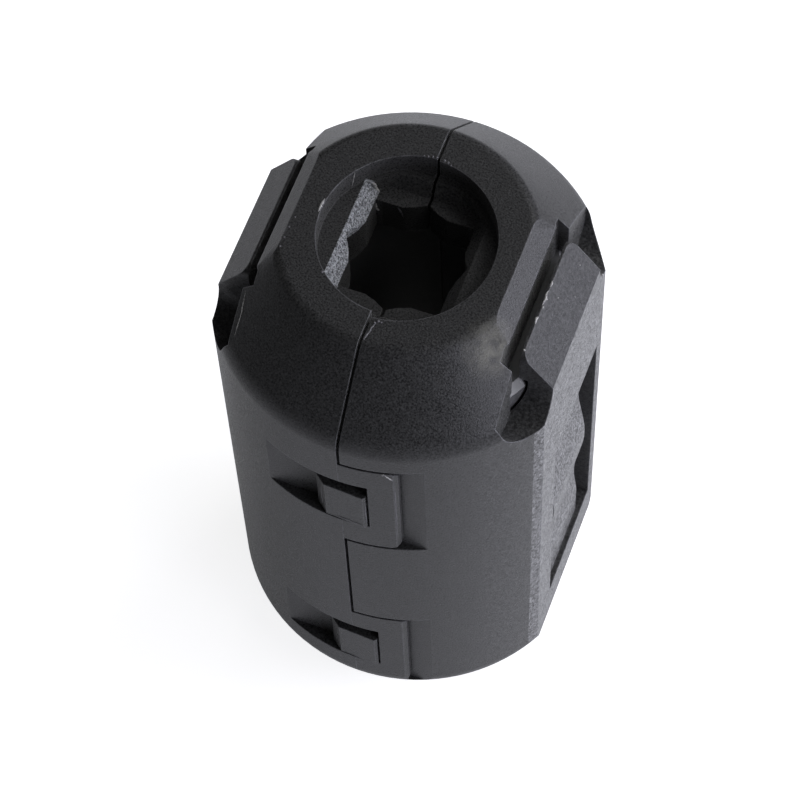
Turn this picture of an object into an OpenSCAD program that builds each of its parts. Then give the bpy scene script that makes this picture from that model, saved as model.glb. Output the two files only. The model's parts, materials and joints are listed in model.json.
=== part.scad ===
// Clip-on suppressor bead for a round cable, closed and standing on its end.
// The case is one moulding: two half shells, two thin hinge straps behind and two snap loops in front.
// A split ceramic core lies inside it, one half in each shell.
// X runs across the flat sides, -Y is the latch side, +Y is the hinge side and Z is the cable axis.

/* [Case] */
// Length of the closed case along the cable.
case_len = 36; // [36:0.5:44]
// Diameter of the round wall.
case_d = 19.8; // [19.6:0.1:22]
// How far the axis of the round wall lies behind that of the cable hole.
case_back = 0.1; // [0:0.02:0.12]
// Width across the two flat sides.
flats_w = 17.5; // [17.3:0.1:18.4]
// Height of the chamfer at each end.
chamfer_h = 4.2; // [3.8:0.05:4.7]
// Diameter of the flat ring round each cable hole.
ring_d = 12.7; // [12.3:0.1:14]
// Width of that ring across the flat sides.
ring_w = 11.2; // [10.8:0.05:11.6]
// Radius that softens the shoulder between chamfer and wall.
shoulder_r = 2; // [0.6:0.2:3]
// Radius that softens the rim of the end ring.
rim_r = 0.7; // [0.3:0.1:0.9]
// Gap between the two shells when the core halves meet.
seam_gap = 0.16; // [0.1:0.02:0.3]

/* [Cable hole] */
// Diameter of the arc that the shell with the catches has in its half of the end ring.
hole_d = 9.3; // [8.8:0.1:10]
// How much smaller that arc is in the shell with the loops.
hole_less = 0.25; // [0:0.05:0.4]
// How far each arc's centre lies beyond the seam, which makes the hole narrower across the seam.
hole_pinch = 0.15; // [0:0.05:0.5]
// How far the two arcs are set apart along the seam.
hole_step = 0.2; // [0:0.05:0.3]
// Depth of the toothed grip below the end ring.
ledge_depth = 1.2; // [0.8:0.1:1.4]
// Width of the grip's square throat.
grip_w = 5.2; // [4.8:0.1:6]
// Diameter of the circle on which the tooth tips lie.
grip_d = 5.7; // [5.4:0.1:6.4]
// Width of the grip's mouth across the seam.
mouth_w = 6.5; // [6:0.1:7.4]
// Length of that mouth along the seam.
mouth_l = 8; // [7:0.1:8.2]
// Diameter that rounds off the corners of the mouth.
mouth_d = 8.4; // [8:0.1:8.8]
// Depth of the bevels at the two sides of the mouth.
bevel_h = 0.8; // [0.4:0.1:1]
// Depth over which the mouth narrows to the throat at the latches and at the hinge.
taper_h = 2.4; // [1.6:0.1:2.4]
// Distance from the axis that the notches between the teeth reach.
notch_reach = 3.15; // [3:0.05:3.6]
// Width of each notch at the edge of the square throat.
notch_w = 1.9; // [1.2:0.1:2.2]

/* [Core] */
// Diameter of the split core.
core_d = 16.1; // [15.6:0.1:16.2]
// Width of the core across its flats.
core_w = 14.6; // [14:0.1:14.8]
// Diameter of the hole through the core.
core_bore_d = 9.2; // [8.6:0.1:9.8]
// Bevel on the core's end edges.
core_bevel = 0.4; // [0.2:0.1:0.8]

/* [Retaining tabs] */
// Thickness of the end ring over the slot of a tab.
slot_top = 1.15; // [1:0.05:1.3]
// Height of the slot between the end ring and each tab.
slot_h = 0.9; // [0.7:0.05:1.1]
// Length of that slot along the side.
slot_w = 8.4; // [8:0.1:9]
// Distance of the slot's inner wall from the seam plane.
slot_root = 6.33; // [6:0.03:6.45]
// Distance of each tab's inner face from the seam plane.
tab_face = 7; // [6.6:0.05:7.2]
// Width of each tab along the side.
tab_w = 7.1; // [6.4:0.1:7.4]
// Distance of the middle of each tab behind the mid plane.
tab_shift = 0.2; // [0:0.05:0.3]
// Radius of the tab's upper corners.
tab_corner = 0.6; // [0.2:0.1:0.9]
// Width of the relief pocket at each side of a tab.
relief_w = 3.2; // [2.6:0.1:3.4]
// Distance of the relief pocket floors from the seam plane.
relief_floor = 6.92; // [6.7:0.02:7]
// Depth of the relief pockets at the upper end, which cut through the shoulder.
relief_depth = 5.95; // [5.6:0.05:6.2]
// Depth of the relief pockets at the lower end, which stop short of it.
relief_low = 3.4; // [2.9:0.05:3.5]

/* [Leaf springs] */
// Height of the lower edge of the window that each leaf spring spans.
window_low = 6.9; // [6.8:0.1:8]
// Height of that window.
window_h = 16.8; // [15:0.2:18]
// Distance from the front edge of a leaf to the mid plane.
leaf_front = 2.3; // [2:0.1:2.6]
// Distance from the mid plane to the rear edge of a leaf.
leaf_rear = 2.75; // [2.2:0.05:3]
// Width of the narrow slit in front of a leaf.
leaf_slit = 0.25; // [0.15:0.05:0.4]
// Distance from the mid plane to the rear edge of the window.
window_rear = 4; // [3.4:0.1:4.1]
// Thickness of a leaf.
leaf_t = 0.9; // [0.7:0.05:0.95]
// Depth of the waves in a leaf.
leaf_wave = 0.48; // [0.3:0.02:0.5]
// Distance between two waves of a leaf.
wave_pitch = 9.3; // [8:0.1:10]

/* [Latches] */
// Height of the top edge of the upper loop below the top of the case.
latch_top = 6.2; // [6:0.05:6.8]
// Distance from one loop to the same edge of the other.
latch_pitch = 17.35; // [14:0.05:17.4]
// Height of a loop along the case.
loop_h = 8.2; // [7.4:0.05:8.2]
// Reach of a loop beyond the seam plane.
loop_reach = 2.85; // [2.7:0.05:3.1]
// Width of the bar that hooks behind the catch.
loop_bar = 1.48; // [1.3:0.02:1.7]
// Width of the upper arm of a loop.
arm_top = 1.8; // [1.5:0.05:2]
// Width of the lower arm of a loop.
arm_low = 2.1; // [1.8:0.05:2.2]
// Bevel on the free edge of a loop.
loop_bevel = 0.18; // [0.05:0.01:0.3]
// Depth of the flat pocket that a loop lies in.
pocket_depth = 0.9; // [0.8:0.02:1]
// Play of a catch along the case in the window of its loop.
catch_play = 1.1; // [0.6:0.05:1.6]
// How far the nose of a catch reaches past the seam plane.
catch_nose = 1.55; // [1.2:0.05:1.7]
// How far a catch stands proud of the round wall.
catch_proud = 0.05; // [0:0.01:0.1]

/* [Hinge straps] */
// Height of each hinge strap along the case.
strap_h = 8; // [6:0.5:9]
// Outside radius of the fold in a hinge strap.
strap_r = 0.8; // [0.7:0.05:0.85]
// Thickness of a hinge strap.
strap_t = 0.4; // [0.3:0.05:0.5]

/* [Hidden] */
// Clearances between pieces that lie close.
loop_gap = 0.12;
pocket_gap = 0.2;
catch_gap = 0.04;
core_gap = 0.15;
face_gap = 0.02;
// Sizes that follow from the ones above.
case_r = case_d / 2;
front_y = case_r - case_back;
back_y = case_r + case_back;
half_flat = flats_w / 2;
core_half = core_w / 2;
pocket_y = front_y - pocket_depth;
recess_y = pocket_y - 0.1;
grip_r = grip_d / 2;
window_x = loop_reach - loop_bar;
slot_low = slot_top + slot_h;
relief_r = relief_w / 2;
// Height of the upper dip of a leaf, where it bears on the core.
dip_z = window_low + window_h - 2.8;
// Height below which a leaf runs straight to its foot.
foot_z = dip_z - 1.22 * wave_pitch;
far = case_len * 2;
round_steps = 6;
wave_steps = 28;
$fn = 96;

// Names of the parts, in the order they are drawn.
// Part to draw, or all of them.

// Unit vector along v.
function unit(v) = v / norm(v);

// Points that round the corner c between the points p and n to the radius r.
function corner(p, c, n, r, steps = round_steps) =
    let (u = unit(p - c), w = unit(n - c), half = acos(u * w) / 2,
         m = c + unit(u + w) * r / sin(half),
         a = c + u * r / tan(half), b = c + w * r / tan(half),
         s = atan2(a.y - m.y, a.x - m.x), t = atan2(b.y - m.y, b.x - m.x),
         d = ((t - s + 540) % 360) - 180)
    [for (i = [0 : steps]) m + r * [cos(s + d * i / steps), sin(s + d * i / steps)]];

// Outline drawn in Y and Z, run along X from x0 to x1.
module along_x(x0, x1) {
    translate([x0, 0, 0]) rotate([90, 0, 90]) linear_extrude(x1 - x0) children();
}

// Outline drawn in X and Z, run along Y from y0 to y1.
module along_y(y0, y1) {
    translate([0, y1, 0]) rotate([90, 0, 0]) linear_extrude(y1 - y0) children();
}

// The same cut or piece at both ends of the case, drawn from the top end down.
module both_ends() {
    translate([0, 0, case_len]) children();
    mirror([0, 0, 1]) children();
}

// The outer shape of the closed case: a round barrel with chamfered ends and two flat sides.
module envelope() {
    ring_edge = [ring_d / 2, 0];
    shoulder = [case_r, chamfer_h];
    top_shoulder = [case_r, case_len - chamfer_h];
    top_edge = [ring_d / 2, case_len];
    intersection() {
        translate([0, case_back, 0]) rotate_extrude() polygon(concat(
            [[0, 0]],
            corner([0, 0], ring_edge, shoulder, rim_r),
            corner(ring_edge, shoulder, top_shoulder, shoulder_r),
            corner(shoulder, top_shoulder, top_edge, shoulder_r),
            corner(top_shoulder, top_edge, [0, case_len], rim_r),
            [[0, case_len]]));
        along_y(-case_r - 1, case_r + 1) polygon([for (s = [1, -1], e = [0, 1, 2, 3])
            let (k = s > 0 ? e : 3 - e)
            [s * [ring_w / 2, half_flat, half_flat, ring_w / 2][k],
             [0, chamfer_h, case_len - chamfer_h, case_len][k]]]);
    }
}

// Everything on the right of the seam, short of it by half the gap.
module right_side() {
    translate([seam_gap / 2, -far / 2, -far / 2]) cube(far);
}

// The throat between the teeth: a square with a wide notch in each side and rounded tips.
module throat() {
    square(grip_w, center = true);
    circle(r = grip_r);
    for (a = [0 : 90 : 270]) rotate(a)
        polygon([[0, -notch_w / 2], [grip_w / 2, -notch_w / 2], [notch_reach, 0],
                 [grip_w / 2, notch_w / 2], [0, notch_w / 2]]);
}

// Outline of a mouth of the width w that narrows to the throat over the depth h.
module mouth_outline(w, h) {
    polygon([[-w / 2, 1], [-w / 2, 0], [-grip_w / 2, -h], [grip_w / 2, -h], [w / 2, 0], [w / 2, 1]]);
}

// What is cut from an end of a shell for the cable. The arc in the ring has the diameter d and
// lies a little before or behind the mid plane, by the distance along the seam.
module cable_way(d, along) {
    translate([-hole_pinch, along, -ledge_depth]) cylinder(d = d, h = ledge_depth + 1);
    translate([0, 0, -ledge_depth]) intersection() {
        along_x(-far, far) mouth_outline(mouth_l, taper_h);
        along_y(-far, far) mouth_outline(mouth_w, bevel_h);
        translate([0, 0, -taper_h]) cylinder(d = mouth_d, h = taper_h + 0.01);
    }
    translate([0, 0, -chamfer_h - 1]) linear_extrude(chamfer_h + 1.01 - ledge_depth) throat();
}

// The slot that frees the top of a tab, with the narrow gap behind its lip.
module tab_slot() {
    along_y(-slot_w / 2, slot_w / 2) polygon([
        [slot_root, -slot_top], [far, -slot_top], [far, -slot_low], [tab_face, -slot_low],
        [tab_face, -chamfer_h - 0.01], [slot_root, -chamfer_h - 0.01]]);
}

// The round-bottomed pocket of a depth that frees the side s of a tab and rounds its corner there.
module relief_pocket(s, depth) {
    edge = tab_w / 2 + s * tab_shift;
    along_x(relief_floor, far) scale([s, 1]) {
        translate([edge + relief_r, relief_r - depth]) circle(r = relief_r);
        translate([edge, relief_r - depth]) square([relief_w, depth - relief_r - slot_top]);
        translate([edge, -slot_low]) difference() {
            translate([-tab_corner, -tab_corner]) square(tab_corner + 0.01);
            translate([-tab_corner, -tab_corner]) circle(r = tab_corner);
        }
    }
}

// The space that the split core lies in, a little larger than the core.
module chamber() {
    half = core_half + core_gap;
    translate([0, 0, chamfer_h]) intersection() {
        cylinder(d = core_d + 2 * core_gap, h = case_len - 2 * chamfer_h);
        translate([-half, -case_r, 0]) cube([2 * half, case_d, case_len]);
    }
}

// Outer face of a leaf at the height z, which waves in and out.
function leaf_face(z) =
    half_flat - 0.03 - leaf_wave / 2 * (1 + cos(360 * (max(z, foot_z) - dip_z) / wave_pitch));

// A leaf spring that bridges the window and bears on the core with its waves.
module leaf() {
    heights = [for (i = [0 : wave_steps]) window_low + window_h * i / wave_steps];
    along_y(-leaf_front, leaf_rear) polygon(concat(
        [for (z = heights) [leaf_face(z), z]],
        [for (i = [wave_steps : -1 : 0]) [leaf_face(heights[i]) - leaf_t, heights[i]]]));
}

// The window behind and beside a leaf spring.
module leaf_window() {
    translate([core_half - 1, -leaf_front - leaf_slit, window_low])
        cube([case_r, leaf_front + leaf_slit + window_rear, window_h]);
}

// One half shell without its latches, on the right of the seam, with its arc of the cable hole.
module plain_half(d, along) {
    difference() {
        intersection() {
            envelope();
            right_side();
        }
        chamber();
        leaf_window();
        both_ends() {
            cable_way(d, along);
            tab_slot();
        }
        for (s = [-1, 1]) {
            translate([0, 0, case_len]) relief_pocket(s, relief_depth);
            mirror([0, 0, 1]) relief_pocket(s, relief_low);
        }
    }
    leaf();
}

// Height of the lower edge of loop number i, counted from the upper one.
function loop_z(i) = case_len - latch_top - loop_h - i * latch_pitch;

// Height of the lower edge of the window in loop number i.
function loop_window_z(i) = loop_z(i) + arm_low;

// Height of that window.
loop_window_h = loop_h - arm_low - arm_top;

// The pocket that loop number i lies in, open towards the flat side.
module loop_pocket(i) {
    translate([-1, -far - pocket_y, loop_z(i) - pocket_gap])
        cube([far, far, loop_h + 2 * pocket_gap]);
}

// The recess in the other shell that takes the nose of catch number i.
module nose_recess(i) {
    translate([-far, -far - recess_y, loop_window_z(i)]) cube([far + 1, far, loop_window_h]);
}

// The catch that loop number i hooks over: a blunt nose, a ramp and a square face.
module catch(i) {
    tip_x = window_x - loop_gap;
    tip_y = front_y + catch_proud;
    translate([0, 0, loop_window_z(i) + catch_gap]) linear_extrude(loop_window_h - catch_play) polygon([
        [-catch_nose, -pocket_y], [-catch_nose, -pocket_y - 0.35], [0.6 - catch_nose, -tip_y + 0.12],
        [tip_x - 0.12, -tip_y], [tip_x, -tip_y + 0.12], [tip_x - 0.04, -pocket_y + 0.2],
        [seam_gap / 2, -pocket_y + 0.2], [seam_gap / 2, -pocket_y]]);
}

// Snap loop number i, moulded onto the left shell at the seam.
module latch_loop(i) {
    r = 0.5;
    z0 = loop_z(i);
    z1 = z0 + loop_h;
    b = loop_bevel;
    edge_y = sqrt(case_r * case_r - loop_reach * loop_reach) - case_back;
    difference() {
        intersection() {
            envelope();
            linear_extrude(case_len) polygon([
                [-1, 0], [-1, -case_r - 1], [loop_reach - 2 * b, -case_r - 1],
                [loop_reach - b, -edge_y - b / 3], [loop_reach, b - edge_y], [loop_reach, 0]]);
            along_y(-case_r - 1, -pocket_y - loop_gap / 2) polygon(concat(
                [[-seam_gap / 2, z0]],
                corner([0, z0], [loop_reach, z0], [loop_reach, z1], r),
                corner([loop_reach, z0], [loop_reach, z1], [0, z1], r),
                [[-seam_gap / 2, z1]]));
        }
        translate([-1, -case_r - 1, loop_window_z(i)]) cube([1 + window_x, case_r, loop_window_h]);
    }
}

// Hinge strap number i, a thin fold that springs from one shell to the other.
module hinge_strap(i) {
    difference() {
        translate([0, back_y, loop_z(i) + (loop_h - strap_h) / 2]) cylinder(r = strap_r, h = strap_h);
        translate([0, back_y, 0]) cylinder(r = strap_r - strap_t, h = case_len);
        translate([0, case_back, 0]) cylinder(r = case_r + face_gap, h = case_len);
    }
}

// The shell that carries the loops.
module case_half_left() {
    color([0.10, 0.10, 0.11]) difference() {
        mirror([1, 0, 0]) plain_half(hole_d - hole_less, hole_step / 2);
        for (i = [0, 1]) nose_recess(i);
    }
}

// The shell that carries the catches.
module case_half_right() {
    color([0.11, 0.11, 0.12]) {
        difference() {
            plain_half(hole_d, -hole_step / 2);
            for (i = [0, 1]) loop_pocket(i);
        }
        for (i = [0, 1]) catch(i);
    }
}

// One half of the split core, on the side s of the seam.
module core(s) {
    h = case_len - 2 * chamfer_h - 2 * core_gap;
    r = core_d / 2;
    b = core_bevel;
    intersection() {
        translate([0, 0, chamfer_h + core_gap]) rotate_extrude() polygon([
            [core_bore_d / 2 + b, 0], [r - b, 0], [r, b], [r, h - b], [r - b, h],
            [core_bore_d / 2 + b, h], [core_bore_d / 2, h - b], [core_bore_d / 2, b]]);
        mirror([s < 0 ? 1 : 0, 0, 0]) translate([face_gap / 2, -r, 0]) cube([core_half, core_d, case_len]);
    }
}

case_half_left();
case_half_right();
color([0.10, 0.10, 0.11]) hinge_strap(0);  // hinge_strap_upper
color([0.10, 0.10, 0.11]) hinge_strap(1);  // hinge_strap_lower
color([0.10, 0.10, 0.11]) latch_loop(0);  // latch_loop_upper
color([0.10, 0.10, 0.11]) latch_loop(1);  // latch_loop_lower
color([0.24, 0.24, 0.25]) core(-1);  // ferrite_core_left
color([0.24, 0.24, 0.25]) core(1);  // ferrite_core_right
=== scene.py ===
"""Looks for the clip-on suppressor bead: moulded case, snap loops, folded hinge and split core."""

import json
import math
import random

import bmesh
import bpy
from bpy.props import FloatProperty, FloatVectorProperty, PointerProperty, StringProperty
from mathutils import Matrix, Vector
from mathutils.bvhtree import BVHTree


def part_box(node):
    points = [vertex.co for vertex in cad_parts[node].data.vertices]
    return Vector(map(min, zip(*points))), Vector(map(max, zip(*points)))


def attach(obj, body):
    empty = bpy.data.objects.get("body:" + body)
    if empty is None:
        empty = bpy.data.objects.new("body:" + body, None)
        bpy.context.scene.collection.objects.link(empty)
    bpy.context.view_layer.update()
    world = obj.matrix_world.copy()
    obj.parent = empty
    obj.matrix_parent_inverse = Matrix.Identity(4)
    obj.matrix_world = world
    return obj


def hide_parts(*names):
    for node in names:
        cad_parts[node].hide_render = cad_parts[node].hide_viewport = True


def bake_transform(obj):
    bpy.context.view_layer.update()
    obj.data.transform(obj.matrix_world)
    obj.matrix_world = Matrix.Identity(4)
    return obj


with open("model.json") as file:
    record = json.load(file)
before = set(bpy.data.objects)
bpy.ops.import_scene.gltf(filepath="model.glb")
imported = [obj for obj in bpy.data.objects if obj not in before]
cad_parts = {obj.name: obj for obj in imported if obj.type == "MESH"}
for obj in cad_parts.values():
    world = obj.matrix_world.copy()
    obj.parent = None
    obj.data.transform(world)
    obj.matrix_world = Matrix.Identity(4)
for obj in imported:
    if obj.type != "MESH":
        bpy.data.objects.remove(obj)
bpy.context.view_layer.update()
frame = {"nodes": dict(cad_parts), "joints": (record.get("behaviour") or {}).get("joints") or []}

bl_info = {
    "name": "Suppressor Bead",
    "version": (1, 0, 0),
    "blender": (4, 5, 0),
    "location": "3D Viewport > Sidebar > Bead",
    "description": "Finishes a clip-on suppressor bead and sets its studio",
    "category": "Object",
}

MM = 0.001
SHELLS = ("case_half_left", "case_half_right")
LOOPS = ("latch_loop_upper", "latch_loop_lower")
STRAPS = ("hinge_strap_upper", "hinge_strap_lower")
CORES = ("ferrite_core_left", "ferrite_core_right")
HINGE_Y = next(joint["pos_m"][1] for joint in frame["joints"] if joint["name"] == "case_hinge")

# the middle of the bead in metres, which the lamps stand round
MIDDLE = Vector((0, 0, 0.018))

# The names below down to LIPS are in millimetres.
# the bevel in the hole that is painted pale, partly as frosting and partly as painted highlight, as a box,
# and the heights between which the hole's walls are painted dark as shade
FROST_HIGHLIGHT_AT, FROST_HIGHLIGHT_REACH = (-2.93, 0.0, 34.42), (0.36, 3.1, 0.42)
THROAT_MIDDLE, THROAT_REACH = 18.0, 15.98
# how wide the frost's crystals and the flash's pale spots are drawn
CRYSTAL = 0.11
PALE_SPOT = 0.1
# the core: spacing of its pores, width of its ground surface's cloud, and how far its corners are rounded
PORE, GROUND_CLOUD = 0.25, 0.2
CORE_EDGE = 0.06
# where the scuff begins to show, and where it is full, from its middle
SCUFF_REACH, SCUFF_FULL = 1.7, 0.3
# how near another wall stands for a corner to count as an inner one
INNER_CORNER = 0.3
# how far a burr's listed place may lie from the surface it sits on, and how deep its underside is sunk
SEAT_REACH = 0.5
BURY = 0.03
# the folded straps: wall, half the stretch over which they bend, and the rounding at their ends
STRAP_THICK = 0.42
STRAP_END, STRAP_ROUND = 0.3, 0.22

# The case's wall where the halves meet, as (y, z) from the hole over the outside: at the back, and at both
# ends of the front. The last number says which side of the line is inward.
WALLS = ((((4.54, 34.8), (4.54, 36.0), (6.3, 36.0), (6.6, 35.8), (7.9, 34.2), (9.55, 32.3), (9.9, 31.6),
           (10.0, 31.2), (10.0, 4.9), (9.9, 4.35), (9.55, 3.7), (7.95, 1.8), (6.6, 0.2), (6.3, 0.0),
           (4.54, 0.0), (4.54, 1.14)), 1),
         (((-4.54, 34.8), (-4.54, 36.0), (-6.3, 36.0), (-6.6, 35.8), (-7.9, 34.2), (-9.4, 32.4)), -1),
         (((-9.4, 3.6), (-7.95, 1.8), (-6.6, 0.2), (-6.3, 0.0), (-4.54, 0.0), (-4.54, 1.14)), -1))

# each parting lip's reach across the seam, and how deep it lies in the wall
LIPS = (("parting_lip_left", "left_shell", (-0.1, 0.05), (0.35, 0.5)),
        ("parting_lip_right", "right_shell", (0.1, -0.05), (0.55, 0.7)))

# corners shallower than this are shaded smooth
SMOOTH_BELOW = math.radians(26)
# how squarely a face has to look sideways to count as a flat
SIDEWAYS = 0.85
# how far the roughness strays either way, and how much higher the frost's crystals stand than the grain
ROUGHNESS_SPREAD = 0.13
CRYSTAL_RISE = 2.5
# how many sides a burr's section has before it is smoothed
BURR_SIDES = 8
# refractive indices
NYLON_IOR, FERRITE_IOR = 1.53, 2.2
# strength of the white room as fill light
ROOM_FILL = 0.07
# name, azimuth, elevation, width, height in degrees, radiance, tint
LAMPS = (
    ("box_low_front", -24, 8, 24, 12, 10.2, "#eff0ff"),
    ("box_low_right", 24, 8, 24, 12, 13.2, "#eff0ff"),
    ("box_front", -24, 20, 24, 12, 3.0, "#f4f5ff"),
    ("box_right", 24, 20, 24, 12, 6.3, "#f4f5ff"),
    ("box_high_front", 0, 50, 40, 20, 2.3, "#ffffff"),
    ("box_high_right", 40, 50, 40, 20, 3.2, "#ffffff"),
    ("box_high_rear", 80, 50, 40, 20, 0.9, "#ffffff"),
)


def linear(hex_colour):
    """Linear RGBA of an sRGB hex colour such as #1e1d20."""
    parts = [int(hex_colour[i:i + 2], 16) / 255 for i in (1, 3, 5)]
    return tuple(c / 12.92 if c <= 0.04045 else ((c + 0.055) / 1.055) ** 2.4 for c in parts) + (1.0,)


def add(tree, kind, settings=None, links=None):
    """Adds a node of a kind, with its settings, and links its inputs from the given sockets."""
    node = tree.nodes.new(kind)
    for name, value in (settings or {}).items():
        if isinstance(name, str) and hasattr(node, name):
            setattr(node, name, value)
        else:
            node.inputs[name].default_value = value
    for name, socket in (links or {}).items():
        tree.links.new(socket, node.inputs[name])
    return node


def new_material(name):
    """An empty node material."""
    mat = bpy.data.materials.new(name)
    mat.use_nodes = True
    mat.node_tree.nodes.clear()
    return mat, mat.node_tree


def all_of(tree, *sockets):
    """Product of masks."""
    out = sockets[0]
    for socket in sockets[1:]:
        out = add(tree, "ShaderNodeMath", {"operation": "MULTIPLY"}, {0: out, 1: socket}).outputs[0]
    return out


def peppered_black(tree, look, coord, off_axis, grain, blotch):
    """Black with a pepper of light grains in soft clouds, coarser on the sides; the flats are paler, a
    painted sheen, with a stronger speckle.
    """
    pepper = add(tree, "ShaderNodeMapRange", {"From Min": 0.35, "From Max": 0.72},
                 {"Value": grain}).outputs["Result"]
    coarse = add(tree, "ShaderNodeTexNoise",
                 {"Scale": 1 / (look.flat_grain_mm * MM), "Detail": 3.0, "Roughness": 0.75},
                 {"Vector": coord.outputs["Object"]}).outputs["Fac"]
    speckle = add(tree, "ShaderNodeMapRange", {"From Min": 0.38, "From Max": 0.66},
                  {"Value": coarse}).outputs["Result"]
    outer = add(tree, "ShaderNodeMath", {"operation": "GREATER_THAN", 1: look.side_x * MM},
                {0: off_axis}).outputs[0]
    pepper = add(tree, "ShaderNodeMix", {"data_type": "FLOAT"}, {0: outer, 2: pepper, 3: speckle}).outputs[0]
    tone = add(tree, "ShaderNodeMix",
               {"data_type": "RGBA", 6: linear(look.tone_dark), 7: linear(look.tone_light)},
               {0: pepper}).outputs[2]
    face = add(tree, "ShaderNodeSeparateXYZ", None, {"Vector": coord.outputs["Normal"]})
    aside = add(tree, "ShaderNodeMath", {"operation": "ABSOLUTE"}, {0: face.outputs["X"]}).outputs[0]
    flats = all_of(tree,
                   add(tree, "ShaderNodeMath", {"operation": "GREATER_THAN", 1: SIDEWAYS},
                       {0: aside}).outputs[0],
                   add(tree, "ShaderNodeMath", {"operation": "GREATER_THAN", 1: look.flat_x * MM},
                       {0: off_axis}).outputs[0])
    # painted sheen: the flats and leaf springs are paler to stand in for the glancing light they catch
    flat_painted_sheen_tone = add(tree, "ShaderNodeMix",
                    {"data_type": "RGBA", 6: linear(look.flat_sheen_dark), 7: linear(look.flat_sheen_light)},
                    {0: speckle}).outputs[2]
    tone = add(tree, "ShaderNodeMix", {"data_type": "RGBA"}, {0: flats, 6: tone, 7: flat_painted_sheen_tone}).outputs[2]
    cloud = add(tree, "ShaderNodeMapRange", {"From Min": 0.3, "From Max": 0.7, "To Min": 0.9, "To Max": 1.1},
                {"Value": blotch}).outputs["Result"]
    return add(tree, "ShaderNodeVectorMath", {"operation": "SCALE"}, {0: tone, "Scale": cloud}).outputs[0]


def frosting_and_painted_highlight(tree, look, place, spot, tone):
    """Pale crystals on the bevel in the hole, partly frosting and partly a painted highlight where the light
    falls on it: the tone with them, and how high they stand.
    """
    frost_highlight_mask = all_of(tree, *(add(tree, "ShaderNodeMath",
                               {"operation": "COMPARE", 1: FROST_HIGHLIGHT_AT[k] * MM, 2: FROST_HIGHLIGHT_REACH[k] * MM},
                               {0: spot.outputs["XYZ"[k]]}).outputs[0] for k in (2, 0, 1)))
    crystals = add(tree, "ShaderNodeTexNoise", {"Scale": 1 / (CRYSTAL * MM), "Detail": 4.0, "Roughness": 0.8},
                   {"Vector": place}).outputs["Fac"]
    white = add(tree, "ShaderNodeMapRange", {"From Min": 0.4, "From Max": 0.64},
                {"Value": crystals}).outputs["Result"]
    frosted_and_highlit = add(tree, "ShaderNodeMix",
                  {"data_type": "RGBA", 6: linear(look.frost_highlight_dark), 7: linear(look.frost_highlight_light)},
                  {0: white}).outputs[2]
    tone = add(tree, "ShaderNodeMix", {"data_type": "RGBA"}, {0: frost_highlight_mask, 6: tone, 7: frosted_and_highlit}).outputs[2]
    return tone, all_of(tree, crystals, frost_highlight_mask)


def scuffed_corner(tree, look, place, blotch, tone):
    """The tone with one corner of the right shell scuffed by handling, over a couple of millimetres."""
    off_scuff = add(tree, "ShaderNodeVectorMath", {"operation": "DISTANCE", 1: Vector(look.scuff_at) * MM},
                    {0: place}).outputs["Value"]
    scuff = all_of(tree,
                   add(tree, "ShaderNodeMapRange",
                       {"From Min": SCUFF_REACH * MM, "From Max": SCUFF_FULL * MM},
                       {"Value": off_scuff}).outputs["Result"],
                   add(tree, "ShaderNodeMapRange", {"From Min": 0.35, "From Max": 0.6, "To Min": 0.2},
                       {"Value": blotch}).outputs["Result"])
    return add(tree, "ShaderNodeMix", {"data_type": "RGBA", 7: linear(look.scuff_tone)},
               {0: scuff, 6: tone}).outputs[2]


def painted_throat_shade(tree, look, spot, axis_gap, tone):
    """The tone with the walls deep in the hole painted dark: painted shade where little light reaches them.
    """
    throat = all_of(tree,
                    add(tree, "ShaderNodeMath", {"operation": "LESS_THAN", 1: look.throat_r * MM},
                        {0: axis_gap}).outputs[0],
                    add(tree, "ShaderNodeMath",
                        {"operation": "COMPARE", 1: THROAT_MIDDLE * MM, 2: THROAT_REACH * MM},
                        {0: spot.outputs["Z"]}).outputs[0])
    return add(tree, "ShaderNodeMix", {"data_type": "RGBA", 7: linear(look.throat_shade_tone)},
               {0: throat, 6: tone}).outputs[2]


def worn_and_highlit_edges(tree, look, edge, axis_gap, blotch, tone):
    """The tone with sharp outer edges painted paler, partly wear and partly a painted highlight of edges
    catching the light; inner corners, which see little sky, stay black.
    """
    turned = add(tree, "ShaderNodeVectorMath", {"operation": "DOT_PRODUCT"},
                 {0: edge, 1: add(tree, "ShaderNodeNewGeometry").outputs["True Normal"]}).outputs["Value"]
    open_air = add(tree, "ShaderNodeAmbientOcclusion",
                   {"samples": 4, "Distance": INNER_CORNER * MM}).outputs["AO"]
    # painted highlight: outer edges that see open sky are lightened, partly as wear and partly as the light
    # they catch
    worn_and_highlit = all_of(tree,
                  add(tree, "ShaderNodeMath", {"operation": "GREATER_THAN", 1: look.wear_and_highlight_r * MM},
                      {0: axis_gap}).outputs[0],
                  add(tree, "ShaderNodeMapRange", {"From Min": 0.99, "From Max": 0.92},
                      {"Value": turned}).outputs["Result"],
                  add(tree, "ShaderNodeMapRange", {"From Min": 0.6, "From Max": 0.85},
                      {"Value": open_air}).outputs["Result"],
                  add(tree, "ShaderNodeMapRange", {"From Min": 0.35, "From Max": 0.6, "To Min": 0.35},
                      {"Value": blotch}).outputs["Result"])
    return add(tree, "ShaderNodeMix", {"data_type": "RGBA", 7: linear(look.wear_and_highlight_tone)},
               {0: worn_and_highlit, 6: tone}).outputs[2]


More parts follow.
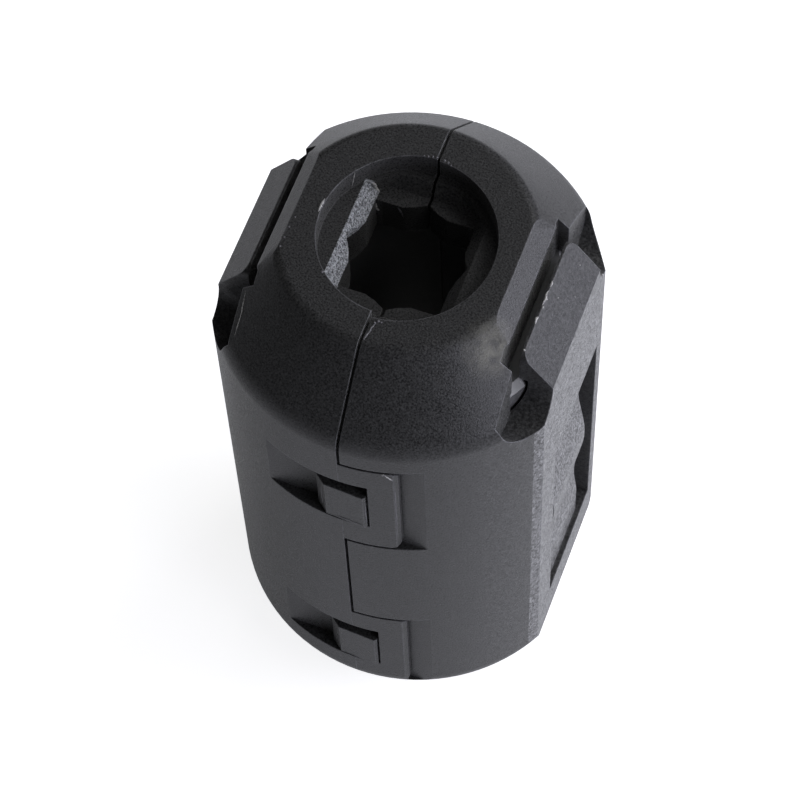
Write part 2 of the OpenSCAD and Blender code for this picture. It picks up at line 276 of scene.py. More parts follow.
def moulded_nylon(name, look):
    """Nylon 66, injection moulded in a spark-eroded mould: black, dull, with an even fine grain.

    The eye sees a soft sheen broken by a pepper of light grains. The flat sides and leaf
    springs came off a coarser part of the mould and show a coarser speckle; their paler tone is a
    painted sheen for the glancing light they catch. Where the hole's mouth is bevelled the nylon is
    painted pale with crystals, partly frosting and partly a painted highlight where the light falls,
    and each corner is rounded by about a tenth of a millimetre.
    """
    mat, tree = new_material(name)
    coord = add(tree, "ShaderNodeTexCoord")
    place = coord.outputs["Object"]
    spot = add(tree, "ShaderNodeSeparateXYZ", None, {"Vector": place})
    off_axis = add(tree, "ShaderNodeMath", {"operation": "ABSOLUTE"}, {0: spot.outputs["X"]}).outputs[0]
    flat_spot = add(tree, "ShaderNodeCombineXYZ", None, {"X": spot.outputs["X"], "Y": spot.outputs["Y"]})
    axis_gap = add(tree, "ShaderNodeVectorMath", {"operation": "LENGTH"},
                   {0: flat_spot.outputs[0]}).outputs["Value"]
    edge = add(tree, "ShaderNodeBevel", {"samples": 4, "Radius": look.edge_mm * MM}).outputs["Normal"]
    # a fine spark-eroded grain is too small to show, so it is drawn coarser
    grain = add(tree, "ShaderNodeTexNoise",
                {"Scale": 1 / (look.grain_mm * MM), "Detail": 2.0, "Roughness": 0.7},
                {"Vector": place}).outputs["Fac"]
    blotch = add(tree, "ShaderNodeTexNoise",
                 {"Scale": 1 / (look.blotch_mm * MM), "Detail": 3.0, "Roughness": 0.6},
                 {"Vector": place}).outputs["Fac"]
    tone = peppered_black(tree, look, coord, off_axis, grain, blotch)
    tone, crystal_height = frosting_and_painted_highlight(tree, look, place, spot, tone)
    tone = scuffed_corner(tree, look, place, blotch, tone)
    tone = painted_throat_shade(tree, look, spot, axis_gap, tone)
    tone = worn_and_highlit_edges(tree, look, edge, axis_gap, blotch, tone)
    rough = add(tree, "ShaderNodeMapRange",
                {"From Min": 0.3, "From Max": 0.7, "To Min": look.roughness - ROUGHNESS_SPREAD,
                 "To Max": look.roughness + ROUGHNESS_SPREAD},
                {"Value": grain}).outputs["Result"]
    height = add(tree, "ShaderNodeMath", {"operation": "MULTIPLY_ADD", 1: CRYSTAL_RISE},
                 {0: crystal_height, 2: grain}).outputs[0]
    bump = add(tree, "ShaderNodeBump", {"Strength": 1.0, "Distance": look.grain_depth_mm * MM},
               {"Height": height, "Normal": edge}).outputs["Normal"]
    shader = add(tree, "ShaderNodeBsdfPrincipled",
                 {"IOR": NYLON_IOR, "Specular IOR Level": look.gloss, "Sheen Weight": look.sheen,
                  "Sheen Roughness": 0.5},
                 {"Base Color": tone, "Roughness": rough, "Normal": bump}).outputs["BSDF"]
    add(tree, "ShaderNodeOutputMaterial", None, {"Surface": shader})
    return mat


def spotted_nylon(name, dark, light):
    """Nylon 66 in two spotted tones: waxy flash burrs drawn out past the tool's edge, pale partly from stress
    whitening and partly as painted glint; near-black lips, painted shade.
    """
    mat, tree = new_material(name)
    place = add(tree, "ShaderNodeTexCoord").outputs["Object"]
    # the lighter tone comes and goes in small spots
    spots = add(tree, "ShaderNodeTexNoise",
                 {"Scale": 1 / (PALE_SPOT * MM), "Detail": 3.0, "Roughness": 0.65},
                 {"Vector": place}).outputs["Fac"]
    spread = add(tree, "ShaderNodeMapRange", {"From Min": 0.3, "From Max": 0.7},
                 {"Value": spots}).outputs["Result"]
    tone = add(tree, "ShaderNodeMix", {"data_type": "RGBA", 6: linear(dark), 7: linear(light)},
               {0: spread}).outputs[2]
    rough = add(tree, "ShaderNodeMapRange", {"To Min": 0.35, "To Max": 0.6},
                {"Value": spots}).outputs["Result"]
    bump = add(tree, "ShaderNodeBump", {"Strength": 0.6, "Distance": 0.01 * MM},
               {"Height": spots}).outputs["Normal"]
    shader = add(tree, "ShaderNodeBsdfPrincipled", {"IOR": NYLON_IOR, "Specular IOR Level": 0.4},
                 {"Base Color": tone, "Roughness": rough, "Normal": bump}).outputs["BSDF"]
    add(tree, "ShaderNodeOutputMaterial", None, {"Surface": shader})
    return mat


def sintered_ferrite(name, look):
    """Nickel-zinc ferrite, pressed, sintered and ground: dark grey, dense, faintly metallic in shine.

    Grinding leaves matt grey with small black pores; the grit marks are too fine to show and
    are drawn as a coarser cloud.
    """
    mat, tree = new_material(name)
    place = add(tree, "ShaderNodeTexCoord").outputs["Object"]
    pores = add(tree, "ShaderNodeTexVoronoi", {"Scale": 1 / (PORE * MM)},
                {"Vector": place}).outputs["Distance"]
    cloud = add(tree, "ShaderNodeTexNoise",
                {"Scale": 1 / (GROUND_CLOUD * MM), "Detail": 4.0, "Roughness": 0.6},
                {"Vector": place}).outputs["Fac"]
    tone = add(tree, "ShaderNodeMix",
               {"data_type": "RGBA", 6: linear(look.ferrite_dark), 7: linear(look.ferrite_light)},
               {0: cloud}).outputs[2]
    pit = add(tree, "ShaderNodeMapRange", {"From Min": 0.05, "From Max": 0.2, "To Min": 0.4},
              {"Value": pores}).outputs["Result"]
    tone = add(tree, "ShaderNodeVectorMath", {"operation": "SCALE"}, {0: tone, "Scale": pit}).outputs[0]
    rough = add(tree, "ShaderNodeMapRange", {"To Min": 0.38, "To Max": 0.55},
                {"Value": cloud}).outputs["Result"]
    edge = add(tree, "ShaderNodeBevel", {"samples": 4, "Radius": CORE_EDGE * MM}).outputs["Normal"]
    bump = add(tree, "ShaderNodeBump", {"Strength": 0.5, "Distance": 0.02 * MM},
               {"Height": pit, "Normal": edge}).outputs["Normal"]
    shader = add(tree, "ShaderNodeBsdfPrincipled", {"IOR": FERRITE_IOR},
                 {"Base Color": tone, "Roughness": rough, "Normal": bump}).outputs["BSDF"]
    add(tree, "ShaderNodeOutputMaterial", None, {"Surface": shader})
    return mat


def smooth_shading():
    """Node group that welds the moulding's facets and shades them smooth across shallow angles."""
    group = bpy.data.node_groups.new("moulded_shading", "GeometryNodeTree")
    group.interface.new_socket("Geometry", in_out="INPUT", socket_type="NodeSocketGeometry")
    group.interface.new_socket("Geometry", in_out="OUTPUT", socket_type="NodeSocketGeometry")
    shape = add(group, "NodeGroupInput").outputs["Geometry"]
    for name in ("custom_normal", "sharp_face", "sharp_edge"):
        shape = add(group, "GeometryNodeRemoveAttribute", {"Name": name},
                    {"Geometry": shape}).outputs["Geometry"]
    shape = add(group, "GeometryNodeMergeByDistance", {"Distance": 0.001 * MM},
                {"Geometry": shape}).outputs["Geometry"]
    shape = add(group, "GeometryNodeSetShadeSmooth", {"domain": "FACE", "Shade Smooth": True},
                {"Geometry": shape}).outputs["Geometry"]
    angle = add(group, "GeometryNodeInputMeshEdgeAngle").outputs["Unsigned Angle"]
    shallow = add(group, "FunctionNodeCompare",
                  {"data_type": "FLOAT", "operation": "LESS_THAN", 1: SMOOTH_BELOW},
                  {0: angle}).outputs["Result"]
    shape = add(group, "GeometryNodeSetShadeSmooth", {"domain": "EDGE"},
                {"Geometry": shape, "Shade Smooth": shallow}).outputs["Geometry"]
    add(group, "NodeGroupOutput", None, {"Geometry": shape})
    return group


def finish_node(name, mat, shading):
    """Gives a CAD node its material and smooth shading; its own vertices stay as they are."""
    node = frame["nodes"][name]
    for slot in node.material_slots:
        slot.material = mat
    node.modifiers.new("shading", "NODES").node_group = shading
    keep_flats = node.modifiers.new("flat faces stay flat", "WEIGHTED_NORMAL")
    keep_flats.keep_sharp = True


def skin_of(names):
    """Search tree over the surfaces of CAD nodes."""
    verts, faces = [], []
    for name in names:
        mesh = frame["nodes"][name].data
        start = len(verts)
        verts += [v.co.copy() for v in mesh.vertices]
        faces += [[start + i for i in p.vertices] for p in mesh.polygons]
    return BVHTree.FromPolygons(verts, faces)


def seat(skin, point):
    """Nearest place on a surface to a point in mm, and the way out of the surface there."""
    place, normal, _, gap = skin.find_nearest(Vector(point) * MM)
    if place is None or gap > SEAT_REACH * MM:
        raise RuntimeError(f"no surface near {tuple(point)}")
    return place, normal


def join_rings(bm, rings):
    """Walls between successive closed rings of as many points each."""
    for a, b in zip(rings, rings[1:]):
        for k in range(len(a)):
            n = (k + 1) % len(a)
            bm.faces.new((a[k], a[n], b[n], b[k]))


def object_from(name, bm):
    """Turns a built mesh into an object in the scene."""
    mesh = bpy.data.meshes.new(name)
    bm.to_mesh(mesh)
    bm.free()
    obj = bpy.data.objects.new(name, mesh)
    bpy.context.scene.collection.objects.link(obj)
    return obj


def ridge(bm, skin, path, width, height, rng):
    """A thin burr along a path in mm: uneven, half round, sunk a little, drawn out to nothing at its ends."""
    seats = []
    for a, b in zip(path, path[1:]):
        a, b = Vector(a), Vector(b)
        steps = max(3, round((b - a).length / (0.7 * width)))
        seats += [seat(skin, a.lerp(b, k / steps)) for k in range(steps)]
    seats.append(seat(skin, path[-1]))
    last = len(seats) - 1
    rings = []
    for i, (place, normal) in enumerate(seats):
        along = seats[min(i + 1, last)][0] - seats[max(i - 1, 0)][0]
        side = along.cross(normal).normalized()
        full = min(1.0, 3.0 * min(i, last - i) / last + 0.15)
        wide = 0.5 * width * MM * full * rng.uniform(0.7, 1.25)
        high = height * MM * full * rng.uniform(0.6, 1.3)
        drift = side * rng.uniform(-0.2, 0.2) * width * MM * full
        ring = []
        for k in range(BURR_SIDES):
            turn = 2 * math.pi * k / BURR_SIDES
            up = math.sin(turn)
            ring.append(bm.verts.new(place + drift + side * wide * math.cos(turn)
                                     + normal * (high * up if up > 0 else BURY * MM * up)))
        rings.append(ring)
    join_rings(bm, rings)
    bm.faces.new(rings[0][::-1])
    bm.faces.new(rings[-1])


def crumb(bm, skin, point, size, height, rng):
    """An uneven crumb of nylon, a little sunk where it is stuck."""
    place, normal = seat(skin, point)
    side = normal.orthogonal().normalized()
    across = normal.cross(side)
    spin = rng.uniform(0, math.pi)
    side, across = (side * math.cos(spin) + across * math.sin(spin),
                    across * math.cos(spin) - side * math.sin(spin))
    stretch = rng.uniform(0.7, 1.0)
    made = bmesh.ops.create_icosphere(bm, subdivisions=2, radius=0.5)["verts"]
    bulge = [Vector([rng.uniform(-1, 1) for _ in "xyz"]).normalized() for _ in range(4)]
    for v in made:
        way = v.co.normalized()
        swell = 1 + 0.25 * sum(max(0.0, way.dot(b)) ** 3 for b in bulge) + rng.uniform(-0.06, 0.06)
        x, y, z = v.co * swell
        z = z * 2 * height * MM if z > 0 else z * 2 * BURY * MM
        v.co = place + side * x * size * MM + across * y * size * stretch * MM + normal * z


def piece_from(name, bm, mat, body):
    """Turns a built mesh into a smooth object that moves with a body."""
    bmesh.ops.recalc_face_normals(bm, faces=bm.faces)
    obj = object_from(name, bm)
    obj.data.materials.append(mat)
    obj.data.shade_smooth()
    soften = obj.modifiers.new("soften", "SUBSURF")
    soften.levels = soften.render_levels = 1
    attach(obj, body)


def burrs(name, skin, body, mat, ridges=(), crumbs=(), seed=0):
    """One piece holding some ridges (path, width, height) and crumbs (point, size, height), in mm."""
    rng = random.Random(seed)
    bm = bmesh.new()
    for path, width, height in ridges:
        ridge(bm, skin, path, width, height, rng)
    for point, size, height in crumbs:
        crumb(bm, skin, point, size, height, rng)
    piece_from(name, bm, mat, body)


class BeadCaseLook(bpy.types.PropertyGroup):
    """Colours and texture of the moulded case."""
    tone_dark: StringProperty(name="Dark tone", description="Darker tone of the black nylon",
                              default="#1c1c1d")
    tone_light: StringProperty(name="Light tone", description="Lighter tone of the black nylon",
                               default="#464647")
    # the flats' pale tone is a painted sheen for the glancing light they catch, over their coarser speckle
    flat_sheen_dark: StringProperty(name="Flats, dark tone",
                              description="Darker tone of the side flats and leaf springs", default="#111113")
    flat_sheen_light: StringProperty(name="Flats, light tone",
                               description="Lighter tone of the side flats and leaf springs",
                               default="#909092")
    # painted highlight and wear: the pale tone of the sharp outer edges
    wear_and_highlight_tone: StringProperty(name="Worn edges", description="Tone of the edges rubbed pale by handling",
                              default="#717176")
    scuff_tone: StringProperty(name="Scuff", description="Tone of the scuffed corner", default="#605f59")
    scuff_at: FloatVectorProperty(name="Scuffed corner", description="Middle of the scuffed corner, in mm",
                                  default=(5.85, -4.0, 35.15))
    # painted shade: the walls deep in the hole are darkened where little light reaches them
    throat_shade_tone: StringProperty(name="Throat", description="Tone of the dark walls inside the hole",
                                default="#0c0c0d")
    throat_r: FloatProperty(name="Throat radius",
                            description="Distance from the axis inside which the walls are dark, in mm",
                            default=3.45)
    side_x: FloatProperty(name="Sides start",
                          description="Distance from the axis past which the grain is coarser, in mm",
                          default=6.6)
    wear_and_highlight_r: FloatProperty(name="Wear starts",
                          description="Distance from the axis past which edges are rubbed, in mm",
                          default=4.3)
    # painted highlight: the bevel's pale crystals are partly frosting and partly the light that falls on that
    # one bevel
    frost_highlight_dark: StringProperty(name="Frost, dark tone",
                               description="Darker tone of the frosted bevel in the hole", default="#26272b")
    frost_highlight_light: StringProperty(name="Frost, light tone",
                                description="Lighter tone of the frosted bevel in the hole",
                                default="#c2c5cc")
    # painted glint: the flash tones are partly stress whitening and partly the light the burrs catch
    flash_dark: StringProperty(name="Flash, dark tone", description="Darker tone of the pale flash",
                               default="#6f6e72")
    flash_light: StringProperty(name="Flash, light tone", description="Lighter tone of the pale flash",
                                default="#c9c8c6")
    rubbed_glint_dark: StringProperty(name="Rubbed flash, dark", description="Darker tone of rubbed flash",
                                default="#3c3b3f")
    rubbed_glint_light: StringProperty(name="Rubbed flash, light", description="Lighter tone of rubbed flash",
                                 default="#6c6b70")
    # painted shade: the lips' tones are near-black as the seam's shade
    parting_shade_dark: StringProperty(name="Lips, dark", description="Darker tone of the parting lips",
                                 default="#060607")
    parting_shade_light: StringProperty(name="Lips, light", description="Lighter tone of the parting lips",
                                  default="#101011")
    grain_mm: FloatProperty(name="Grain", description="Width of one grain of the mould texture, in mm",
                            default=0.10)
    flat_grain_mm: FloatProperty(name="Flats, grain",
                                 description="Width of one grain on the side flats and leaf springs, in mm",
                                 default=0.17)
    grain_depth_mm: FloatProperty(name="Grain depth", description="Depth of the mould texture, in mm",
                                  default=0.018)
    blotch_mm: FloatProperty(name="Blotches", description="Width of the soft clouds in the black, in mm",
                             default=0.6)
    flat_x: FloatProperty(name="Flats start",
                          description="Distance from the axis past which a side face counts as a flat, in mm",
                          default=7.9)
    roughness: FloatProperty(name="Roughness", description="Roughness of the moulded surface", default=0.33,
                             min=0, max=1)
    gloss: FloatProperty(name="Gloss", description="Specular level of the moulded surface", default=0.2,
                         min=0, max=1)
    sheen: FloatProperty(name="Sheen", description="Dusty sheen of the texture at a low angle", default=0.1,
                         min=0, max=1)
    edge_mm: FloatProperty(name="Edge", description="Radius of the moulded corners, in mm", default=0.09)


class BeadCoreLook(bpy.types.PropertyGroup):
    """Colours of the ferrite core."""
    ferrite_dark: StringProperty(name="Dark tone", description="Darker tone of the ferrite",
                                 default="#38383a")
    ferrite_light: StringProperty(name="Light tone", description="Lighter tone of the ferrite",
                                  default="#5a5a5d")


class BeadStageLook(bpy.types.PropertyGroup):
    """Camera and studio."""
    lens: FloatProperty(name="Lens", description="Focal length on a 36 mm sensor", default=136.3)
    distance: FloatProperty(name="Distance", description="Camera to target", default=0.16197, unit="LENGTH")
    azimuth: FloatProperty(name="Azimuth", description="Camera round the object", default=math.radians(23.27),
                           subtype="ANGLE")
    elevation: FloatProperty(name="Elevation", description="Camera above the horizon",
                             default=math.radians(61.78), subtype="ANGLE")
    roll: FloatProperty(name="Roll", description="Camera turned about its own axis",
                        default=math.radians(-3.17), subtype="ANGLE")
    target: FloatVectorProperty(name="Target", description="Point the camera looks at",
                                default=(-0.00094, 0.00039, 0.018), subtype="TRANSLATION")
    floor_tone: StringProperty(name="Floor", description="Colour of the matte paper floor", default="#eff0f5")
    floor_lift: FloatProperty(name="Floor lift",
                              description="White added to the floor where the eye meets it", default=0.8)
    floor_gleam: FloatProperty(name="Floor gleam",
                               description="White added to the floor where a reflection meets it",
                               default=0.15)


class BEAD_OT_case(bpy.types.Operator):
    """Finishes the shells, loops and the straps' own nodes as one black nylon moulding."""
    bl_idname = "bead.case"
    bl_label = "Finish case"

    def execute(self, context):
        nylon = moulded_nylon("nylon_66_injection_moulded", context.scene.bead_case)
        shading = smooth_shading()
        for name in SHELLS + LOOPS + STRAPS:
            finish_node(name, nylon, shading)
        return {"FINISHED"}


def bent_strap(name, low, high, radius, thick, sides=28):
    """A folded hinge strap: a half-round strip over the hinge's axis, rounded at its ends, in metres."""
    bm = bmesh.new()
    ease = STRAP_END * MM
    steps = [k / 5 for k in range(6)]
    heights = ([(low + ease * t, 1 - t) for t in steps]
               + [(low + ease + (high - low - 2 * ease) * k / 6, 0.0) for k in range(1, 6)]
               + [(high - ease * (1 - t), t) for t in steps])
    loops = []
    for z, near_end in heights:
        out_r = radius - STRAP_ROUND * MM * (1 - math.sqrt(1 - min(1.0, near_end) ** 2))
        in_r = radius - thick
        ring = []
        for r, order in ((out_r, range(sides + 1)), (in_r, range(sides, -1, -1))):
            for k in order:
                turn = math.pi * k / sides
                ring.append(bm.verts.new((r * math.cos(turn), HINGE_Y + r * math.sin(turn), z)))
        loops.append(ring)
    join_rings(bm, loops)
    for ring in (loops[0], loops[-1]):
        for k in range(sides):
            bm.faces.new((ring[k], ring[k + 1], ring[-2 - k], ring[-1 - k]))
    bmesh.ops.recalc_face_normals(bm, faces=bm.faces)
    return object_from(name, bm)


class BEAD_OT_strap(bpy.types.Operator):
    """Builds the folded hinge straps as half-round strips over the hinge's axis, in place of their CAD nodes.
    """
    bl_idname = "bead.strap"
    bl_label = "Hinge straps"

    def execute(self, context):
        nylon = bpy.data.materials["nylon_66_injection_moulded"]
        shading = bpy.data.node_groups["moulded_shading"]
        for node in STRAPS:
            low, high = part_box(node)
            strap = bent_strap("bent_" + node, low[2], high[2], high[0], STRAP_THICK * MM)
            strap.data.materials.append(nylon)
            strap.modifiers.new("shading", "NODES").node_group = shading
            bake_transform(strap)
            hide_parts(node)
        return {"FINISHED"}


def sunk(wall, side, depth):
    """The wall's line, moved inward by depth millimetres."""
    line = [Vector(point) for point in wall]
    out = []
    for k, point in enumerate(line):
        before = (point - line[k - 1]).normalized() if k else None
        after = (line[k + 1] - point).normalized() if k + 1 < len(line) else None
        before, after = before or after, after or before
        turns = [Vector((d.y, -d.x)) * side for d in (before, after)]
        inward = (turns[0] + turns[1]).normalized()
        out.append(point + inward * depth / max(0.5, inward.dot(turns[0])))
    return out


class BEAD_OT_lips(bpy.types.Operator):
    """Builds the lips of the parting faces, one behind the other, which keep daylight out of the seam; they
    are painted near-black as the shade between the halves.
    """
    bl_idname = "bead.lips"
    bl_label = "Parting lips"

    def execute(self, context):
        look = context.scene.bead_case
        # painted shade: the lips are near-black, standing for the shade in the seam
        mat = spotted_nylon("nylon_66_parting_face_painted_shade", look.parting_shade_dark, look.parting_shade_light)
        for name, body, reach, depths in LIPS:
            bm = bmesh.new()
            for wall, side in WALLS:
                outer, inner = (sunk(wall, side, depth) for depth in depths)
                rows = [[bm.verts.new((x * MM, p.x * MM, p.y * MM))
                         for x, p in ((reach[0], a), (reach[0], b), (reach[1], b), (reach[1], a))]
                        for a, b in zip(outer, inner)]
                join_rings(bm, rows)
                bm.faces.new(rows[0])
                bm.faces.new(rows[-1])
            bmesh.ops.recalc_face_normals(bm, faces=bm.faces)
            lip = object_from(name, bm)
            lip.data.materials.append(mat)
            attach(lip, body)
        return {"FINISHED"}


class BEAD_OT_core(bpy.types.Operator):
    """Finishes the two ferrite half cores."""
    bl_idname = "bead.core"
    bl_label = "Finish core"

    def execute(self, context):
        ferrite = sintered_ferrite("ferrite_sintered_and_ground", context.scene.bead_core)
        shading = bpy.data.node_groups["moulded_shading"]
        for name in CORES:
            finish_node(name, ferrite, shading)
        return {"FINISHED"}


class BEAD_OT_flash_seam(bpy.types.Operator):
    """Adds the parting line's flash: on the rim in front and at the back, and down the front chamfer."""
    bl_idname = "bead.flash_seam"
    bl_label = "Seam flash"

    def execute(self, context):
        look = context.scene.bead_case
        # the pale flash is used by the steps after this one
        # painted glint: the flash's pale tones are partly stress whitening and partly the light the burrs
        # catch
        spotted_nylon("nylon_66_flash_whitened_and_glinting", look.flash_dark, look.flash_light)
        dull = spotted_nylon("nylon_66_flash_rubbed_and_glinting", look.rubbed_glint_dark, look.rubbed_glint_light)
        skin = skin_of(("case_half_right",))
        burrs("seam_flash_rim", skin, "right_shell", dull,
              ridges=[([(0.34, -4.94, 36), (0.24, -5.35, 36), (0.16, -5.75, 36), (0.1, -6.1, 35.98)],
                       0.12, 0.04)],
              crumbs=[((0.42, -4.86, 36), 0.18, 0.07), ((0.30, -5.02, 36), 0.15, 0.08),
                      ((0.58, -4.88, 36), 0.13, 0.05)],
              seed=11)
        burrs("seam_flash_chamfer", skin, "right_shell", dull,
              ridges=[([(0.16, -6.04, 35.37), (0.16, -7.21, 34.42), (0.16, -8.28, 33.28),
                        (0.16, -9.08, 32.15), (0.16, -9.52, 30.75)], 0.09, 0.03)],
              seed=12)
        left = skin_of(("case_half_left",))
        burrs("seam_flash_back", left, "left_shell", dull,
              crumbs=[((-0.55, 4.62, 36), 0.13, 0.05), ((-0.32, 4.68, 36), 0.12, 0.05),
                      ((-0.12, 4.7, 36), 0.14, 0.06), ((-0.75, 4.58, 36), 0.08, 0.04)],
              seed=13)
        burrs("seam_flash_back_right", skin, "right_shell", dull,
              crumbs=[((0.3, 4.66, 36), 0.14, 0.05), ((0.5, 4.58, 36), 0.16, 0.05),
                      ((0.68, 4.5, 36), 0.1, 0.04)], seed=14)
        return {"FINISHED"}


class BEAD_OT_flash_hole(bpy.types.Operator):
    """Adds the burrs on the hole's rim, on its ledge and on the grip teeth inside."""
    bl_idname = "bead.flash_hole"
    bl_label = "Hole flash"

    def execute(self, context):
        pale = bpy.data.materials["nylon_66_flash_whitened_and_glinting"]
        dull = bpy.data.materials["nylon_66_flash_rubbed_and_glinting"]
        skin = skin_of(("case_half_left",))
        burrs("hole_rim_burr", skin, "left_shell", pale,
              ridges=[([(-4.47, -0.15, 36), (-4.47, 0.3, 36), (-4.44, 0.70, 36)], 0.13, 0.05)], seed=21)
        burrs("hole_ledge_flash", skin, "left_shell", pale,
              ridges=[([(-3.61, 2.61, 35.95), (-3.66, 2.52, 35.5), (-3.74, 2.41, 34.90)], 0.05, 0.03)],
              seed=22)
        burrs("hole_rim_crumbs", skin, "left_shell", dull,
              crumbs=[((-3.07, -3.23, 36), 0.16, 0.05), ((-5.42, -0.79, 36), 0.1, 0.03),
                      ((-5.48, -1.41, 36), 0.12, 0.03), ((-5.5, -2.02, 36), 0.1, 0.03),
                      ((-5.5, -2.55, 36), 0.11, 0.03)],
              seed=23)
        burrs("grip_corner_burrs", skin, "left_shell", pale,
              ridges=[([(-2.99, 3.06, 34.8), (-2.78, 3.15, 34.31), (-2.55, 3.07, 34.0)], 0.22, 0.08),
                      ([(-2.59, 2.60, 33.66), (-2.60, 2.59, 33.30), (-2.46, 2.60, 32.99)], 0.2, 0.08)],
              seed=24)
        burrs("grip_streak", skin, "left_shell", dull,
              ridges=[([(-1.53, 2.75, 34.0), (-1.33, 2.60, 33.69), (-1.14, 2.61, 33.03)], 0.12, 0.05)],
              seed=25)
        return {"FINISHED"}


class BEAD_OT_flash_sides(bpy.types.Operator):
    """Adds the lumps and specks on the side tabs, flats, leaf and pockets."""
    bl_idname = "bead.flash_sides"
    bl_label = "Side flash"

    def execute(self, context):
        pale = bpy.data.materials["nylon_66_flash_whitened_and_glinting"]
        dull = bpy.data.materials["nylon_66_flash_rubbed_and_glinting"]
        skin = skin_of(("case_half_right",))
        burrs("tab_edge_flash", skin, "right_shell", pale,
              ridges=[([(7.10, 1.15, 33.95), (7.11, 0.95, 33.95), (7.10, 0.78, 33.95)], 0.14, 0.07),
                      ([(7.12, 0.62, 33.95), (7.08, 0.3, 33.95), (7.12, 0.0, 33.95), (7.09, -0.32, 33.95)],
                       0.11, 0.06),
                      ([(7.12, -0.95, 33.95), (7.08, -1.15, 33.95), (7.12, -1.42, 33.95)], 0.16, 0.09)],
              crumbs=[((7.08, -2.92, 33.93), 0.13, 0.05), ((7.2, 0.1, 33.95), 0.14, 0.05),
                      ((7.18, -0.4, 33.95), 0.12, 0.05)], seed=31)
        burrs("side_specks_right", skin, "right_shell", pale,
              crumbs=[((8.72, 4.22, 30.52), 0.16, 0.06), ((8.75, 0.89, 26.84), 0.13, 0.05),
                      ((7.58, 0.66, 33.37), 0.07, 0.03), ((8.2, 1.45, 32.54), 0.07, 0.03),
                      ((7.9, 3.02, 32.93), 0.08, 0.03)],
              seed=32)
        burrs("leaf_burr", skin, "right_shell", pale,
              ridges=[([(8.75, -1.74, 24.5), (8.75, -1.9, 24.5), (8.75, -2.05, 24.5)], 0.08, 0.04)], seed=33)
        left = skin_of(("case_half_left",))
        burrs("pocket_edge_flash", left, "left_shell", pale,
              ridges=[([(-6.70, -4.34, 34.00), (-6.59, -5.40, 33.36), (-6.66, -6.27, 32.60)], 0.06, 0.03)],
              seed=34)
        return {"FINISHED"}


class BEAD_OT_flash_loops(bpy.types.Operator):
    """Adds the burrs and flash on the upper snap loop and on its catch."""
    bl_idname = "bead.flash_loops"
    bl_label = "Loop flash"

    def execute(self, context):
        pale = bpy.data.materials["nylon_66_flash_whitened_and_glinting"]
        dull = bpy.data.materials["nylon_66_flash_rubbed_and_glinting"]
        loop = skin_of(("latch_loop_upper",))
        burrs("loop_burr", loop, "upper_latch", pale,
              ridges=[([(2.27, -9.54, 29.77), (2.45, -9.49, 29.49), (2.68, -9.43, 29.21)], 0.1, 0.05)],
              crumbs=[((2.2, -9.55, 29.75), 0.14, 0.05)], seed=41)
        burrs("loop_edge_flash", loop, "upper_latch", dull,
              ridges=[([(2.72, -9.38, 29.0), (2.72, -9.38, 26.5), (2.72, -9.38, 24.0), (2.7, -9.38, 22.7)],
                       0.09, 0.03)], seed=42)
        burrs("catch_edge_flash", skin_of(("case_half_right",)), "right_shell", dull,
              ridges=[([(1.22, -9.75, 26.3), (1.22, -9.75, 25.0), (1.22, -9.75, 24.1)], 0.1, 0.04),
                      ([(1.15, -9.75, 23.95), (0.3, -9.8, 23.95), (-0.5, -9.78, 23.95)], 0.07, 0.03),
                      ([(-1.2, -9.5, 26.4), (-1.2, -9.5, 25.4), (-1.15, -9.5, 24.3)], 0.09, 0.03)], seed=43)
        return {"FINISHED"}


def soft_box(name, azimuth, elevation, wide, tall, radiance, tint, distance=0.7):
    """A soft box facing the bead: its direction, width and height in degrees, and its radiance."""
    az, el = math.radians(azimuth), math.radians(elevation)
    toward = Vector((math.cos(az) * math.cos(el), math.sin(az) * math.cos(el), math.sin(el)))
    data = bpy.data.lights.new(name, "AREA")
    data.shape = "RECTANGLE"
    data.size = 2 * distance * math.tan(math.radians(wide / 2))
    data.size_y = 2 * distance * math.tan(math.radians(tall / 2))
    data.energy = radiance * math.pi * data.size * data.size_y
    data.color = linear(tint)[:3]
    lamp = bpy.data.objects.new(name, data)
    bpy.context.scene.collection.objects.link(lamp)
    lamp.location = toward * distance + MIDDLE
    lamp.rotation_euler = toward.to_track_quat("Z", "Y").to_euler()


def paper_floor(name, look):
    """Matte white paper: lit as paper, and lifted to white where the eye or a reflection meets it."""
    mat, tree = new_material(name)
    lit = add(tree, "ShaderNodeBsdfDiffuse", {"Color": linear(look.floor_tone)}).outputs["BSDF"]
    rays = add(tree, "ShaderNodeLightPath")
    mirrored = add(tree, "ShaderNodeMath", {"operation": "MAXIMUM"},
                   {0: rays.outputs["Is Glossy Ray"], 1: rays.outputs["Is Transmission Ray"]}).outputs[0]
    gleam = add(tree, "ShaderNodeMath", {"operation": "MULTIPLY", 1: look.floor_gleam},
                {0: mirrored}).outputs[0]
    lift = add(tree, "ShaderNodeMath", {"operation": "MULTIPLY_ADD", 1: look.floor_lift},
               {0: rays.outputs["Is Camera Ray"], 2: gleam}).outputs[0]
    glow = add(tree, "ShaderNodeEmission", {"Color": (1, 1, 1, 1)}, {"Strength": lift}).outputs["Emission"]
    paper = add(tree, "ShaderNodeAddShader", None, {0: lit, 1: glow}).outputs["Shader"]
    add(tree, "ShaderNodeOutputMaterial", None, {"Surface": paper})
    return mat


def white_room(name):
    """A world that is plain white to the eye and gives only faint fill light."""
    world = bpy.data.worlds.new(name)
    world.use_nodes = True
    tree = world.node_tree
    tree.nodes.clear()
    seen = add(tree, "ShaderNodeLightPath").outputs["Is Camera Ray"]
    fill = add(tree, "ShaderNodeMapRange", {"To Min": ROOM_FILL, "To Max": 1.0},
               {"Value": seen}).outputs["Result"]
    glow = add(tree, "ShaderNodeBackground", {"Color": (1, 1, 1, 1)},
               {"Strength": fill}).outputs["Background"]
    add(tree, "ShaderNodeOutputWorld", None, {"Surface": glow})
    return world


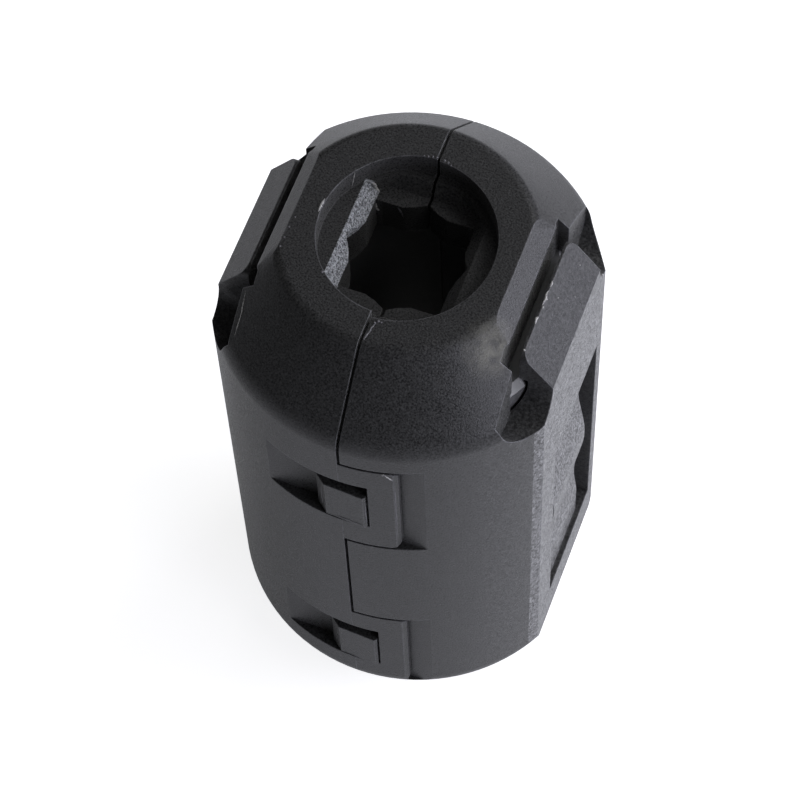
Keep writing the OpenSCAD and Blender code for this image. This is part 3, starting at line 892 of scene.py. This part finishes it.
class BEAD_OT_stage(bpy.types.Operator):
    """Sets the camera, the pale floor and the soft studio light."""
    bl_idname = "bead.stage"
    bl_label = "Set stage"

    def execute(self, context):
        scene, look = context.scene, context.scene.bead_stage
        scene.view_settings.view_transform = "Standard"
        az, el = look.azimuth, look.elevation
        out = Vector((math.sin(az) * math.cos(el), -math.cos(az) * math.cos(el), math.sin(el)))
        across = Vector((math.cos(az), math.sin(az), 0))
        over = out.cross(across)
        x_axis = math.cos(look.roll) * across + math.sin(look.roll) * over
        y_axis = -math.sin(look.roll) * across + math.cos(look.roll) * over
        data = bpy.data.cameras.new("camera")
        data.sensor_width = 36
        data.lens = look.lens
        data.clip_start = 0.01
        camera = bpy.data.objects.new("camera", data)
        scene.collection.objects.link(camera)
        turn = Matrix((x_axis, y_axis, out)).transposed().to_4x4()
        camera.matrix_world = Matrix.Translation(Vector(look.target) + out * look.distance) @ turn
        scene.camera = camera

        bm = bmesh.new()
        bmesh.ops.create_grid(bm, x_segments=1, y_segments=1, size=1.5)
        floor = object_from("floor", bm)
        floor.data.materials.append(paper_floor("paper_white_matte", look))
        scene.world = white_room("studio_white")
        for lamp in LAMPS:
            soft_box(*lamp)
        return {"FINISHED"}


class BEAD_PT_panel(bpy.types.Panel):
    """Sidebar panel that lists the sizes, colours and steps."""
    bl_label = "Bead"
    bl_idname = "BEAD_PT_panel"
    bl_space_type = "VIEW_3D"
    bl_region_type = "UI"
    bl_category = "Bead"

    def draw(self, context):
        scene = context.scene
        for look in (scene.bead_case, scene.bead_core, scene.bead_stage):
            for name in look.__annotations__:
                self.layout.prop(look, name)
        for step in STEPS:
            self.layout.operator("bead." + step)


STEPS = ("case", "strap", "lips", "core", "flash_seam", "flash_hole", "flash_sides", "flash_loops", "stage")
CLASSES = (BeadCaseLook, BeadCoreLook, BeadStageLook, BEAD_OT_case, BEAD_OT_strap, BEAD_OT_lips, BEAD_OT_core,
           BEAD_OT_flash_seam,
           BEAD_OT_flash_hole, BEAD_OT_flash_sides, BEAD_OT_flash_loops, BEAD_OT_stage, BEAD_PT_panel)


def register():
    for cls in CLASSES:
        bpy.utils.register_class(cls)
    bpy.types.Scene.bead_case = PointerProperty(type=BeadCaseLook)
    bpy.types.Scene.bead_core = PointerProperty(type=BeadCoreLook)
    bpy.types.Scene.bead_stage = PointerProperty(type=BeadStageLook)


def unregister():
    del bpy.types.Scene.bead_stage
    del bpy.types.Scene.bead_core
    del bpy.types.Scene.bead_case
    for cls in reversed(CLASSES):
        bpy.utils.unregister_class(cls)


def main():
    register()
    for step in STEPS:
        getattr(bpy.ops.bead, step)()


if __name__ == "__main__":
    main()
